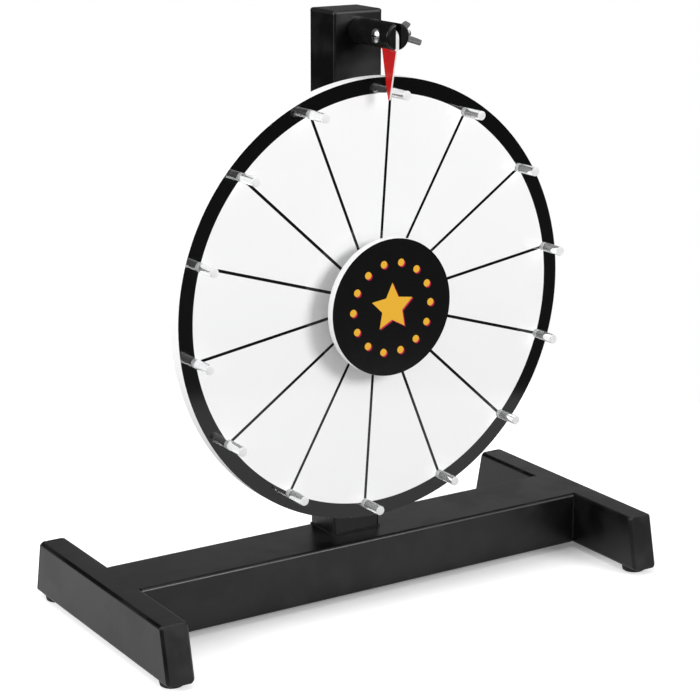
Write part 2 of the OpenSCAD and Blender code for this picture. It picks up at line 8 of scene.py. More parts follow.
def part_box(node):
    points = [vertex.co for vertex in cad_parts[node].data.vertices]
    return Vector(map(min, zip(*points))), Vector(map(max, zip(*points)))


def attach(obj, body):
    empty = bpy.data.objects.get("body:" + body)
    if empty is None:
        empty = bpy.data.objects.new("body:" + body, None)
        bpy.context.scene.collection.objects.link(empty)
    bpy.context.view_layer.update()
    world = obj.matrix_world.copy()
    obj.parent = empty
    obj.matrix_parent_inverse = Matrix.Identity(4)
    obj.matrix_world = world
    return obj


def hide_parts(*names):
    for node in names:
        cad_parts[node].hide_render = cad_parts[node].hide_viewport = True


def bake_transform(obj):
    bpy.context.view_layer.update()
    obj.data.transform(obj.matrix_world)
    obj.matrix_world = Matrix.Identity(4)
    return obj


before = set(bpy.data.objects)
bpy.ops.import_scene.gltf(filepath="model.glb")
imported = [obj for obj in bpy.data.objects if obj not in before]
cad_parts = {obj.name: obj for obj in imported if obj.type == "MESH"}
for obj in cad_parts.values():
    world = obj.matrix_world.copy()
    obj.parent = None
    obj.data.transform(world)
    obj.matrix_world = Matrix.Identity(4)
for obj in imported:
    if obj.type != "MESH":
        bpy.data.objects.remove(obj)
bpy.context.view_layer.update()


# Legs: two rectangular steel tubes, cut at a slope at both ends, that carry the wheel and its post.
# The tube is drawn with rounded corners, and wears a satin black powder coat like the rest of the stand.
mm = 0.001
leg_rake = 8.5 * mm
end_plate_depth = 2.05 * mm
tube_corner = 2.5 * mm
tube_corner_steps = 6
tube_end_edge = 0.6 * mm
coat_black = (0.001, 0.001, 0.001, 1)
coat_grey = (0.0065, 0.0065, 0.0065, 1)
coat_cloud = 30 * mm
coat_cloud_band = (0.42, 0.62)
coat_peel = 0.9 * mm
coat_wave = 14 * mm


class Field:
    """A shader socket that can stand in Python sums. Each sum adds a Math node to the socket's tree."""

    def __init__(self, socket):
        self.socket = socket
        self.tree = socket.id_data

    def node(self, kind, settings, sockets, output=0):
        """Adds a node of a type: first its settings, then the values or links of its sockets."""
        made = self.tree.nodes.new("ShaderNode" + kind)
        for name, value in settings.items():
            setattr(made, name, value)
        for name, value in sockets.items():
            if isinstance(value, Field):
                self.tree.links.new(value.socket, made.inputs[name])
            else:
                made.inputs[name].default_value = value
        return Field(made.outputs[output])

    def math(self, operation, *values):
        return self.node("Math", {"operation": operation}, dict(enumerate(values)))

    def __add__(self, other):
        return self.math("ADD", self, other)

    def __sub__(self, other):
        return self.math("SUBTRACT", self, other)

    def __rsub__(self, other):
        return self.math("SUBTRACT", other, self)

    def __mul__(self, other):
        return self.math("MULTIPLY", self, other)

    def __mod__(self, other):
        return self.math("FLOORED_MODULO", self, other)

    __radd__ = __add__
    __rmul__ = __mul__


def grain(place, size, detail=2.0):
    """Noise between 0 and 1 whose lumps are about size across."""
    return place.node("TexNoise", {}, {"Vector": place, "Scale": 1 / size, "Detail": detail})


def tint(mask, low, high):
    """The colour low where the mask is 0 and high where it is 1."""
    return mask.node("Mix", {"data_type": "RGBA"}, {0: mask, 6: low, 7: high}, 2)


def rise(value, low, high):
    """0 where a value is under low and 1 where it is over high, with a smooth step between."""
    sockets = {"Value": value, "From Min": low, "From Max": high}
    return value.node("MapRange", {"interpolation_type": "SMOOTHSTEP"}, sockets)


def relief(height, depth):
    """A bump of a real depth, for the shader's normal."""
    return height.node("Bump", {}, {"Height": height, "Distance": depth})


def finish(name, recipe, constants=None):
    """A material. Constants go on the shader's own sockets; the recipe makes what varies over the surface."""
    made = bpy.data.materials.new(name)
    made.use_nodes = True
    tree = made.node_tree
    shader = tree.nodes["Principled BSDF"]
    for socket, value in (constants or {}).items():
        shader.inputs[socket].default_value = value
    place = Field(tree.nodes.new("ShaderNodeTexCoord").outputs["Object"])
    for socket, field in recipe(place).items():
        tree.links.new(field.socket, shader.inputs[socket])
    return made


def powder_coat(place):
    cloud = rise(grain(place, size=coat_cloud, detail=4.0), *coat_cloud_band)
    peel = grain(place, size=coat_peel)
    wave = grain(place, size=coat_wave)
    return {
        "Base Color": tint(cloud, coat_black, coat_grey),
        "Roughness": 0.3 + 0.08 * cloud + 0.04 * peel,
        "Normal": relief(0.008 * peel + 0.09 * wave, depth=1 * mm),
    }


satin_black = finish("satin_black_powder_coat", powder_coat, {"Specular IOR Level": 0.45})


def thing(name, bm, *finishes):
    """Puts a mesh in the scene with its finishes."""
    mesh = bpy.data.meshes.new(name)
    bm.to_mesh(mesh)
    bm.free()
    for coat in finishes:
        mesh.materials.append(coat)
    made = bpy.data.objects.new(name, mesh)
    bpy.context.scene.collection.objects.link(made)
    return made


def piece(name, bm, slot, *finishes, body="stand", nodes=(), crease=42):
    """Makes a mesh a piece of the object: shaded smooth, but sharp at edges past the crease angle."""
    made = thing(name, bm, *finishes)
    made.data.shade_smooth()
    made.data.set_sharp_from_angle(angle=math.radians(crease))
    flats = made.modifiers.new("flat_faces", "WEIGHTED_NORMAL")
    flats.keep_sharp = True
    if body:
        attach(made, body)
    if nodes:
        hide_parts(*nodes)
    return made


def round_edges(bm, edges, radius, segments):
    """Rounds edges by a radius, in a number of steps."""
    bmesh.ops.bevel(
        bm, geom=list(edges), offset=radius, segments=segments, profile=0.5, affect="EDGES", material=-1
    )


def runs_along(edge, axis):
    """True for an edge that runs along an axis, 0 to 2."""
    way = (edge.verts[1].co - edge.verts[0].co).normalized()
    return abs(way[axis]) > 0.999


def block(low, high):
    """A plain block that fills a box."""
    bm = bmesh.new()
    bmesh.ops.create_cube(bm, size=1)
    bmesh.ops.scale(bm, vec=high - low, verts=bm.verts)
    bmesh.ops.translate(bm, vec=(low + high) / 2, verts=bm.verts)
    return bm


def tube(low, high, axis, corner):
    """A bar that fills a box, with the edges along one axis rounded as on drawn tube."""
    bm = block(low, high)
    round_edges(bm, [e for e in bm.edges if runs_along(e, axis)], corner, tube_corner_steps)
    return bm


def cut_off(bm, point, normal):
    """Cuts away what lies beyond a plane, on the side its normal points to."""
    everything = bm.verts[:] + bm.edges[:] + bm.faces[:]
    bmesh.ops.bisect_plane(bm, geom=everything, dist=1e-7, plane_co=point, plane_no=normal, clear_outer=True)


def slice_off(bm, point, normal):
    """Cuts a solid off at a plane and closes the cut."""
    cut_off(bm, point, normal)
    bmesh.ops.holes_fill(bm, edges=bm.edges)


def is_tube_end(face):
    """True for the flat end of a tube, the only kind of face there with more than eight corners."""
    return len(face.verts) > 8


def outline_edges(bm):
    """Edges of the flat ends of a tube."""
    return [e for e in bm.edges if any(is_tube_end(f) for f in e.link_faces)]


def leg_blank(low, high, inset):
    """A leg's tube between its two sloped ends, both drawn in by inset."""
    slope = leg_rake / (high.z - low.z)
    bm = tube(low, high, 1, tube_corner)
    for end, y in ((-1, low.y), (1, high.y)):
        slice_off(bm, (0, y - end * inset, low.z), (0, end, slope))
    return bm


for side in ("left", "right"):
    low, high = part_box(side + "_leg_end_plates")
    blank = leg_blank(low, high, end_plate_depth)
    round_edges(blank, outline_edges(blank), tube_end_edge, segments=2)
    piece(side + "_leg_tube", blank, "powder_coat", satin_black, nodes=[side + "_leg"])


# End plates: a thin steel plate welded over each sloped end of a leg and ground flush with its top.
# Its upright edges are chamfered, and a fine line stays visible where it meets the tube.
plate_edge = 0.25 * mm
plate_chamfer = 1.6 * mm
seam_edge = 0.6 * mm


def joined(parts):
    """One mesh of several."""
    whole = bmesh.new()
    for part in parts:
        scratch = bpy.data.meshes.new("scratch")
        part.to_mesh(scratch)
        part.free()
        whole.from_mesh(scratch)
        bpy.data.meshes.remove(scratch)
    return whole


def end_plate(low, high, end, y):
    """The slice of a leg's tube that closes one of its ends."""
    bm = leg_blank(low, high, 0)
    slope = leg_rake / (high.z - low.z)
    slice_off(bm, (0, y - end * end_plate_depth, low.z), (0, -end, -slope))
    bm.normal_update()
    front, = [f for f in bm.faces if is_tube_end(f) and f.normal.y * end > 0]
    seam = [e for e in outline_edges(bm) if front not in e.link_faces]
    middle = (low.x + high.x) / 2
    for v in front.verts:
        v.co.x = middle + (v.co.x - middle) * (1 - 2 * plate_chamfer / (high.x - low.x))
    round_edges(bm, seam, seam_edge, segments=2)
    round_edges(bm, front.edges, plate_edge, segments=2)
    return bm


for side in ("left", "right"):
    low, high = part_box(side + "_leg_end_plates")
    plates = joined([end_plate(low, high, -1, low.y), end_plate(low, high, 1, high.y)])
    piece(side + "_leg_closing_plates", plates, "powder_coat", satin_black, nodes=[side + "_leg_end_plates"])


# Crossbar: a wider steel tube between the legs, its top ground flush with theirs.
# Its ends butt against the legs' inner sides and are welded there.
bar_low, bar_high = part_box("crossbar")
bar = tube(bar_low, bar_high, 0, tube_corner)
piece("crossbar_tube", bar, "powder_coat", satin_black, nodes=["crossbar"])


# Post: an upright steel tube that stands on the middle of the crossbar, flush with its back.
# It is welded round its foot, and the axle and the pointer's arm are bolted through it.
post_corner = 2 * mm
post_low, post_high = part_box("post")
post = tube(post_low, post_high, 2, post_corner)
piece("post_tube", post, "powder_coat", satin_black, nodes=["post"])


# Welds: runs of weld metal in the upright corners between the crossbar and the legs, round the post's foot,
# and along the joints on top, where they are ground flush.
# They are laid by hand under the powder coat, so the width of a run wavers.
weld_radius = 1.5 * mm
foot_weld_radius = 1.2 * mm
weld_pitch = 2.6 * mm
weld_girth = 0.85
weld_least = 0.05
weld_ripple = 0.08
weld_waver = 0.3
weld_margin = 3 * mm
weld_sides = 12
weld_rings = 48
seam_fill = 0.8 * mm
seam_dash = (0.5, 0.86)
weld_black = (0.003, 0.003, 0.003, 1)
weld_grey = (0.008, 0.008, 0.008, 1)


def mottled(mask, low, high, roughness, depth=None):
    """A recipe that one mask varies: two colours, a range of roughness and, given a depth, a relief."""
    smooth, rough = roughness
    sockets = {"Base Color": tint(mask, low, high), "Roughness": smooth + (rough - smooth) * mask}
    if depth:
        sockets["Normal"] = relief(mask, depth)
    return sockets


def weld_coat(place):
    crust = grain(place, size=2 * mm, detail=4.0)
    return mottled(crust, weld_black, weld_grey, roughness=(0.45, 0.7), depth=0.1 * mm)


def weld_bead(start, end, radius):
    """A rod of weld metal between two points, with ripples across it and rounded ends."""
    way = end - start
    turn = Vector((0, 0, 1)).rotation_difference(way).to_matrix().to_4x4()
    bm = bmesh.new()
    bmesh.ops.create_cone(
        bm, cap_ends=True, segments=weld_sides, radius1=radius, radius2=radius, depth=way.length
    )
    long_edges = [e for e in bm.edges if runs_along(e, 2)]
    bmesh.ops.subdivide_edges(bm, edges=long_edges, cuts=weld_rings)
    for v in bm.verts:
        reach = (way.length / 2 - abs(v.co.z)) / radius
        swell = math.sqrt(1 - max(0.0, 1 - reach) ** 2)
        ripple = weld_ripple * math.sin(2 * math.pi * v.co.z / weld_pitch)
        waver = weld_waver * noise.noise((v.co + start) / weld_pitch)
        v.co.xy *= max(weld_least, swell * (weld_girth + ripple + waver))
    bmesh.ops.transform(bm, matrix=Matrix.Translation((start + end) / 2) @ turn, verts=bm.verts)
    return bm


beads = []
for x in (bar_low.x, bar_high.x):
    for y in (bar_low.y, bar_high.y):
        start = Vector((x, y, bar_low.z + weld_margin))
        end = Vector((x, y, bar_high.z - weld_margin))
        beads.append(weld_bead(start, end, weld_radius))
foot_corners = [
    Vector((post_low.x, post_low.y, bar_high.z)),
    Vector((post_high.x, post_low.y, bar_high.z)),
    Vector((post_high.x, post_high.y, bar_high.z)),
    Vector((post_low.x, post_high.y, bar_high.z)),
]
for start, end in ((0, 1), (1, 2), (3, 0)):
    beads.append(weld_bead(foot_corners[start], foot_corners[end], foot_weld_radius))
for side, outward in (("left", -1), ("right", 1)):
    low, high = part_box(side + "_leg")
    x = bar_low.x if outward < 0 else bar_high.x
    fill_low = Vector((min(x, x + outward * tube_corner), bar_low.y + tube_corner, high.z - tube_corner))
    fill_high = Vector((max(x, x + outward * tube_corner), bar_high.y - tube_corner, high.z))
    ground = [block(fill_low, fill_high)]
    low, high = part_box(side + "_leg_end_plates")
    for end, y in ((-1, low.y), (1, high.y)):
        seam_y = y - end * (leg_rake + end_plate_depth)
        for first, last in ((0, seam_dash[0]), (seam_dash[1], 1)):
            flat = Vector((high.x - low.x - 2 * tube_corner, 0, 0))
            corner = Vector((low.x + tube_corner, seam_y - seam_fill, high.z - seam_fill))
            far = Vector((low.x + tube_corner, seam_y + seam_fill, high.z))
            ground.append(block(corner + first * flat, far + last * flat))
    piece(side + "_ground_welds", joined(ground), "powder_coat", satin_black)
black_weld = finish("black_weld", weld_coat, {"Specular IOR Level": 0.2})
piece("welds", joined(beads), "powder_coat", black_weld)


# Post cap: a plate of black plastic pushed into the post's top to close the tube.
# It is moulded, with a softly rounded rim and a fine grain.
cap_plate = 2.5 * mm
cap_corner = 2.5 * mm
cap_top_edge = 1.8 * mm
cap_black = (0.003, 0.003, 0.003, 1)
cap_grey = (0.006, 0.006, 0.006, 1)


def moulded_black(place):
    cloud = grain(place, size=15 * mm, detail=3.0)
    pits = grain(place, size=0.4 * mm)
    return {
        "Base Color": tint(cloud, cap_black, cap_grey),
        "Roughness": 0.42 + 0.12 * pits,
        "Normal": relief(pits, depth=0.03 * mm),
    }


low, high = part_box("post_cap")
cap = tube(Vector((low.x, low.y, high.z - cap_plate)), high, 2, cap_corner)
cap_rim = [e for e in outline_edges(cap) if e.verts[0].co.z > high.z - cap_plate / 2]
round_edges(cap, cap_rim, cap_top_edge, segments=4)
piece("post_cap_plate", cap, "cap_plastic", finish("moulded_black", moulded_black), nodes=["post_cap"])


# Feet: tapered pads of black rubber under the ends of the legs.
# Each is moulded with a hole, and a well below it for the head of the screw that holds it.
feet = ("front_left_foot", "front_right_foot", "back_left_foot", "back_right_foot")
foot_hole = 2.15 * mm
foot_well = 4.15 * mm
foot_well_depth = 2.2 * mm
foot_taper = 0.8 * mm
foot_edge = 0.5 * mm
rubber_black = (0.008, 0.008, 0.008, 1)
rubber_grey = (0.018, 0.018, 0.018, 1)


def matt_rubber(place):
    speck = grain(place, size=0.5 * mm, detail=3.0)
    return mottled(speck, rubber_black, rubber_grey, roughness=(0.72, 0.92), depth=0.05 * mm)


def turned(profile, closed, place=Matrix.Identity(4), steps=64):
    """A shape turned round the z axis from half its section, radius by height, then put in place."""
    bm = bmesh.new()
    verts = [bm.verts.new((r, 0, h)) for r, h in profile]
    pairs = list(zip(verts, verts[1:]))
    if closed:
        pairs.append((verts[-1], verts[0]))
    edges = [bm.edges.new(pair) for pair in pairs]
    bmesh.ops.spin(
        bm, geom=verts + edges, cent=(0, 0, 0), axis=(0, 0, 1), angle=2 * math.pi, steps=steps, use_merge=True
    )
    bmesh.ops.remove_doubles(bm, verts=bm.verts, dist=1e-7)
    bmesh.ops.recalc_face_normals(bm, faces=bm.faces)
    bmesh.ops.transform(bm, matrix=place, verts=bm.verts)
    return bm


def rims(bm, angle=40):
    """Edges whose two faces meet at more than an angle."""
    return [e for e in bm.edges if e.is_manifold and e.calc_face_angle() > math.radians(angle)]


rubber = finish("matt_black_rubber", matt_rubber)
for foot in feet:
    low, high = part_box(foot)
    outer = (high.x - low.x) / 2
    section = [
        (foot_hole, high.z), (outer, high.z), (outer - foot_taper, low.z),
        (foot_well, low.z), (foot_well, foot_well_depth), (foot_hole, foot_well_depth),
    ]
    middle = Matrix.Translation(((low.x + high.x) / 2, (low.y + high.y) / 2, 0))
    pad = turned(section, True, middle)
    round_edges(pad, rims(pad), foot_edge, segments=3)
    piece(foot + "_pad", pad, "foot_rubber", rubber, nodes=[foot])


# Foot screws: zinc plated steel screws, one up through each foot into the leg.
# They have a pan head with a cross pressed into it, which sits in the foot's well.
foot_head = 4 * mm
foot_head_rise = 1.4 * mm
foot_shank = 2 * mm
foot_pitch = 0.7 * mm
foot_cross = (0.9 * mm, 4.4 * mm, 0.8 * mm)
dome_steps = 6
screw_thread_root = 0.86
thread_end = 0.8
recess_skin = 0.05 * mm
# Painted shade for the cross recess in the screw heads: near black in place of the zinc.
recess_shade_black = (0.01, 0.01, 0.01, 1)
recess_shade_grey = (0.03, 0.03, 0.03, 1)
zinc_dark = (0.16, 0.162, 0.165, 1)
zinc_light = (0.34, 0.34, 0.338, 1)


def zinc_plate(place):
    cloud = grain(place, size=5 * mm, detail=3.0)
    speck = grain(place, size=0.35 * mm)
    return {
        "Base Color": tint(cloud, zinc_dark, zinc_light),
        "Roughness": 0.32 + 0.16 * cloud + 0.08 * speck,
        "Normal": relief(speck, depth=0.015 * mm),
    }


def combined(operation, bm, *others):
    """The mesh less the others, or joined with them into one skin."""
    objects = []
    for part in (bm, *others):
        mesh = bpy.data.meshes.new("scratch")
        part.to_mesh(mesh)
        part.free()
        objects.append(bpy.data.objects.new("scratch", mesh))
        bpy.context.scene.collection.objects.link(objects[-1])
    for other in objects[1:]:
        cut = objects[0].modifiers.new("cut", "BOOLEAN")
        cut.operation = operation
        cut.solver = "MANIFOLD"
        cut.object = other
    shaped = objects[0].evaluated_get(bpy.context.evaluated_depsgraph_get())
    result = bmesh.new()
    result.from_mesh(shaped.to_mesh())
    shaped.to_mesh_clear()
    for scratch in objects:
        mesh = scratch.data
        bpy.data.objects.remove(scratch)
        bpy.data.meshes.remove(mesh)
    return result


def cross_screw(head, head_rise, shank, length, pitch, cross, place):
    """A pan-head screw that points along +z from under its head, with ring threads.

    The faces of the cross in its head take the second finish, a painted shade that darkens the recess.
    """
    dome = head_rise / 2
    ball = (head ** 2 + dome ** 2) / (2 * dome)
    section = [(0, -head_rise)]
    for i in range(1, dome_steps + 1):
        r = head * i / dome_steps
        section.append((r, -head_rise + ball - math.sqrt(ball ** 2 - r ** 2)))
    section += [(head, 0), (shank, 0)]
    for i in range(1, int(length / pitch)):
        section += [(shank * screw_thread_root, (i - 0.5) * pitch), (shank, i * pitch)]
    section += [(shank * thread_end, length), (0, length)]
    bm = turned(section, False)
    slot_w, slot_l, slot_d = cross
    cutters = []
    for size in ((slot_l, slot_w, 2 * slot_d), (slot_w, slot_l, 2 * slot_d)):
        half = Vector(size) / 2
        centre = Vector((0, 0, -head_rise))
        cutters.append(block(centre - half, centre + half))
    bm = combined("DIFFERENCE", bm, *cutters)
    for f in bm.faces:
        middle = f.calc_center_median()
        dome_z = -head_rise + ball - math.sqrt(max(0, ball ** 2 - middle.xy.length_squared))
        f.material_index = 1 if dome_z + recess_skin < middle.z < -recess_skin else 0
    bmesh.ops.transform(bm, matrix=place, verts=bm.verts)
    return bm


# Painted shade: the faces of a screw's cross recess are painted near black, for the shade that falls into the
# recess.
def painted_recess_shade(place):
    speck = grain(place, size=0.5 * mm)
    return mottled(speck, recess_shade_black, recess_shade_grey, roughness=(0.6, 0.8))


recess = finish("painted_recess_shade", painted_recess_shade)
zinc = finish("zinc_plate", zinc_plate, {"Metallic": 1.0})
foot_screws = []
screw_low, screw_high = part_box("foot_screws")
for foot in feet:
    low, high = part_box(foot)
    under_head = Vector(((low.x + high.x) / 2, (low.y + high.y) / 2, screw_low.z + foot_head_rise))
    length = screw_high.z - under_head.z
    place = Matrix.Translation(under_head)
    foot_screws.append(
        cross_screw(foot_head, foot_head_rise, foot_shank, length, foot_pitch, foot_cross, place)
    )
piece("foot_pan_screws", joined(foot_screws), "zinc_steel", zinc, recess, nodes=["foot_screws"])


# Axle: a zinc plated steel bolt through the post, locked by a nut, with a washer on each side of the tube.
# It stands out in front to carry the wheel's bearings, which a second nut keeps on.
axle_radius = 5 * mm
axle_across = 17 * mm
axle_head = 6.4 * mm
axle_pitch = 1.5 * mm
bolt_thread_root = 0.88
hex_face = 0.94
thread_play = 0.02 * mm
washer_play = 0.15 * mm
washer_edge = 0.2 * mm


def along_axle(spot):
    """Puts at a spot what rises along +z, turned to point back along the axle."""
    return Matrix.Translation(spot) @ Matrix.Rotation(math.radians(-90), 4, "X")


def hex_form(bm, across, height, both_ends):
    """Presses the outer wall of a turned blank into a hexagon whose corners are chamfered."""
    outer = max(v.co.xy.length for v in bm.verts)
    for v in bm.verts:
        if v.co.xy.length < outer - 1e-6:
            continue
        part = math.atan2(v.co.y, v.co.x) % (math.pi / 3) - math.pi / 6
        reach = across / 2 / math.cos(part)
        chamfer = (reach - across / 2) * math.tan(math.pi / 6)
        v.co.xy *= reach / outer
        if v.co.z > height / 2:
            v.co.z -= chamfer
        elif both_ends:
            v.co.z += chamfer
    return bm


def hex_nut(across, bore, height, place):
    """A nut that rises along +z, chamfered on both faces."""
    face = across / 2 * hex_face
    section = [(bore, 0), (face, 0), (across, 0), (across, height), (face, height), (bore, height)]
    bm = hex_form(turned(section, True, steps=48), across, height, both_ends=True)
    bmesh.ops.transform(bm, matrix=place, verts=bm.verts)
    return bm


def hex_bolt(across, head, shank, length, pitch, place):
    """A bolt whose head rises along +z from z = 0 and whose threaded shank hangs below."""
    face = across / 2 * hex_face
    section = [(0, -length), (shank * thread_end, -length)]
    for i in range(int(length / pitch) - 1, 0, -1):
        section += [(shank, -i * pitch), (shank * bolt_thread_root, -(i - 0.5) * pitch)]
    section += [(shank, 0), (across, 0), (across, head), (face, head), (0, head)]
    bm = hex_form(turned(section, False, steps=48), across, head, both_ends=False)
    bmesh.ops.transform(bm, matrix=place, verts=bm.verts)
    return bm


def ring(bore, outer, height, place, steps=64):
    """A round plate with a bore, which rises along +z and is then put in place."""
    section = [(bore, 0), (outer, 0), (outer, height), (bore, height)]
    return turned(section, True, place, steps)


def bolt_washer(node, bolt_radius):
    """A flat ring in a node's place for a bolt along the axle's way, with soft rims."""
    low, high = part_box(node)
    place = along_axle(((low.x + high.x) / 2, low.y, (low.z + high.z) / 2))
    bm = ring(bolt_radius + washer_play, (high.x - low.x) / 2, high.y - low.y, place)
    round_edges(bm, rims(bm), washer_edge, segments=2)
    return bm


low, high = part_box("axle_bolt")
axle_z = (low.z + high.z) / 2
length = high.y - axle_head - low.y
place = along_axle((0, high.y - axle_head, axle_z))
bolt = hex_bolt(axle_across, axle_head, axle_radius, length, axle_pitch, place)
piece("axle_hex_bolt", bolt, "zinc_steel", zinc, nodes=["axle_bolt"], crease=30)
for node in ("axle_head_washer", "axle_post_washer"):
    piece(node + "_ring", bolt_washer(node, axle_radius), "zinc_steel", zinc, nodes=[node])
for node in ("axle_jam_nut", "axle_lock_nut"):
    low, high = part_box(node)
    nut = hex_nut(axle_across, axle_radius + thread_play, high.y - low.y, along_axle((0, low.y, axle_z)))
    piece(node + "_hex", nut, "zinc_steel", zinc, nodes=[node], crease=30)


# Bearings: two ground steel ball bearings on the axle, spaced by a sleeve and thin washers.
# They are closed in by the hub, so their turned solids stay as they are.
ground_dark = (0.5, 0.5, 0.51, 1)
ground_light = (0.68, 0.68, 0.69, 1)


def ground_steel(place):
    lines = grain(place.node("Mapping", {}, {"Vector": place, "Scale": (1, 12, 1)}), size=2 * mm, detail=3.0)
    return mottled(lines, ground_dark, ground_light, roughness=(0.12, 0.24))


def keep(coat, *nodes):
    """Gives solids that stay as they are a finish."""
    for node in nodes:
        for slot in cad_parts[node].material_slots:
            slot.material = coat


bearing_steel = finish("ground_steel", ground_steel, {"Metallic": 1.0})
for end in ("front", "rear"):
    keep(bearing_steel, end + "_bearing_inner_ring", end + "_bearing_outer_ring", end + "_bearing_balls")
keep(zinc, "bearing_spacer", "rear_shim_washer", "front_shim_washer")


# Hub: a turned aluminium barrel with a flange behind the disc, and a second flange in front of it.
# Four screws and nuts clamp the disc between the two.
hub_nut_across = 7 * mm
hub_screw_radius = 2 * mm
hub_screw_count = 4
hub_screw_circle = 26 * mm
aluminium_dark = (0.42, 0.425, 0.43, 1)
aluminium_light = (0.6, 0.6, 0.605, 1)


def off_axle(place):
    """How far a place is from the axle, to the right and upwards."""
    parts = place.node("SeparateXYZ", {}, {"Vector": place}).socket.node.outputs
    return Field(parts["X"]), Field(parts["Z"]) - axle_z


def span(right, up):
    """The straight distance that two distances at right angles make."""
    return right.math("SQRT", right * right + up * up)


def turned_aluminium(place):
    radius = span(*off_axle(place))
    rings = grain(place.node("CombineXYZ", {}, {"X": radius}), size=0.5 * mm, detail=3.0)
    return mottled(rings, aluminium_dark, aluminium_light, roughness=(0.28, 0.43), depth=0.02 * mm)


aluminium = finish("turned_aluminium", turned_aluminium, {"Metallic": 1.0})
keep(aluminium, "rear_hub", "front_flange")
keep(zinc, "hub_screws")
low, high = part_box("hub_nuts")
nuts = []
for i in range(hub_screw_count):
    angle = 2 * math.pi * (i + 0.5) / hub_screw_count
    spot = Vector((hub_screw_circle * math.cos(angle), low.y, axle_z + hub_screw_circle * math.sin(angle)))
    nuts.append(hex_nut(hub_nut_across, hub_screw_radius + thread_play, high.y - low.y, along_axle(spot)))
piece("hub_hex_nuts", joined(nuts), "zinc_steel", zinc, body="wheel", nodes=["hub_nuts"], crease=30)


# Wheel board: a disc of white foamed plastic board, the stiff body of the wheel.
# It is sawn round, bored for the hub's barrel and drilled part of the way for the pegs.
board_edge = 0.35 * mm
peg_count = 14
peg_phase = math.radians(3.8)
peg_radius = 3.175 * mm
peg_seat = 6 * mm
peg_play = 0.02 * mm
cut_margin = 1 * mm
rim_band = 10.2 * mm
hub_bore = 16.04 * mm
board_white = (0.94, 0.94, 0.94, 1)
board_shade = (0.9, 0.9, 0.902, 1)
face_low, face_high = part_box("face_sheet")
wheel_radius = (face_high.x - face_low.x) / 2
peg_circle = wheel_radius - rim_band


def foamed_board(place):
    cloud = grain(place, size=20 * mm, detail=3.0)
    cells = grain(place, size=0.35 * mm)
    return {
        "Base Color": tint(cloud, board_shade, board_white),
        "Roughness": 0.55 + 0.1 * cells,
        "Normal": relief(cells, depth=0.03 * mm),
    }


def peg_spot(i):
    """Where a peg stands on the wheel's face. They count from 0, clockwise from the top as seen in front."""
    angle = peg_phase + 2 * math.pi * i / peg_count
    return Vector((peg_circle * math.sin(angle), face_low.y, axle_z + peg_circle * math.cos(angle)))


def rod(radius, length, place, steps):
    """A round bar that rises along +z and is then put in place."""
    return turned([(0, 0), (radius, 0), (radius, length), (0, length)], False, place, steps)


def from_axle(vert):
    """How far a vertex is from the axle."""
    return math.hypot(vert.co.x, vert.co.z - axle_z)


def drilled_disc(front, back, edge):
    """A disc of the wheel between two depths, with its bore and the pegs' blind holes."""
    disc = ring(hub_bore, wheel_radius, back - front, along_axle((0, front, axle_z)), steps=240)
    outer_rims = [e for e in rims(disc) if from_axle(e.verts[0]) > wheel_radius / 2]
    round_edges(disc, outer_rims, edge, segments=2)
    depth = min(back + cut_margin, face_low.y + peg_seat)
    drills = []
    for i in range(peg_count):
        spot = peg_spot(i)
        spot.y = front - cut_margin
        drills.append(rod(peg_radius + peg_play, depth - spot.y, along_axle(spot), steps=32))
    return combined("DIFFERENCE", disc, joined(drills))


white_board = finish("white_foamed_board", foamed_board)
low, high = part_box("wheel_board")
piece("wheel_disc", drilled_disc(low.y, high.y, board_edge), "white_board", white_board,
      body="wheel", nodes=["wheel_board"])


# Face sheet: a sheet of glossy white plastic, bonded to the board and cut round with it.
# It is printed with a black rim band and a black line from the hub to every peg. Its cut edge stays white.
sheet_edge = 0.15 * mm
line_half_width = 1.05 * mm
print_blur = 0.12 * mm
band_overlap = 0.4 * mm
band_inner = peg_circle - band_overlap
sheet_white = (0.93, 0.93, 0.93, 1)
sheet_shade = (0.91, 0.91, 0.912, 1)
print_black = (0.004, 0.004, 0.004, 1)


def about_axle(place):
    """Distance from the axle, and angle clockwise from the top as seen from the front."""
    right, up = off_axle(place)
    return span(right, up), right.math("ARCTAN2", right, up)


def printed_face(place):
    radius, angle = about_axle(place)
    step = 2 * math.pi / peg_count
    swing = (angle - peg_phase + step / 2) % step - step / 2
    off_line = radius * swing.math("ABSOLUTE", swing.math("SINE", swing))
    line = 1 - rise(off_line, line_half_width - print_blur, line_half_width + print_blur)
    band = rise(radius, band_inner - print_blur, band_inner + print_blur)
    ink = line.math("MAXIMUM", line, band)
    cloud = grain(place, size=30 * mm, detail=3.0)
    return {
        "Base Color": tint(ink, tint(cloud, sheet_shade, sheet_white), print_black),
        "Roughness": 0.08 + 0.04 * cloud,
    }


def print_front(bm):
    """Gives the faces that look forward the first finish, the print, and the others the second."""
    bm.normal_update()
    for f in bm.faces:
        f.material_index = 0 if f.normal.y < -0.9 else 1


gloss_print = finish("gloss_printed_face", printed_face)
sheet = drilled_disc(face_low.y, face_high.y, sheet_edge)
print_front(sheet)
piece("printed_face_sheet", sheet, "face_print", gloss_print, white_board, body="wheel", nodes=["face_sheet"])


# Pegs: clear acrylic rods pressed into the wheel on the inner edge of the rim band.
# They are sawn to length and rounded at the front rim, and are a little frosted there.
# Light goes through them, so they cast no shadow.
peg_edge = 0.5 * mm
peg_tint = (0.97, 0.985, 0.99, 1)
peg_clear = (1, 1, 1, 1)
sawn_grey = (0.86, 0.86, 0.86, 1)
sawn_white = (0.96, 0.96, 0.96, 1)


def clear_acrylic(place):
    scratch = grain(place, size=1.5 * mm, detail=3.0)
    return mottled(scratch, peg_tint, peg_clear, roughness=(0.01, 0.03))


def sawn_acrylic(place):
    marks = grain(place.node("Mapping", {}, {"Vector": place, "Scale": (1, 1, 8)}), size=1.2 * mm, detail=3.0)
    return mottled(marks, sawn_grey, sawn_white, roughness=(0.35, 0.55), depth=0.03 * mm)


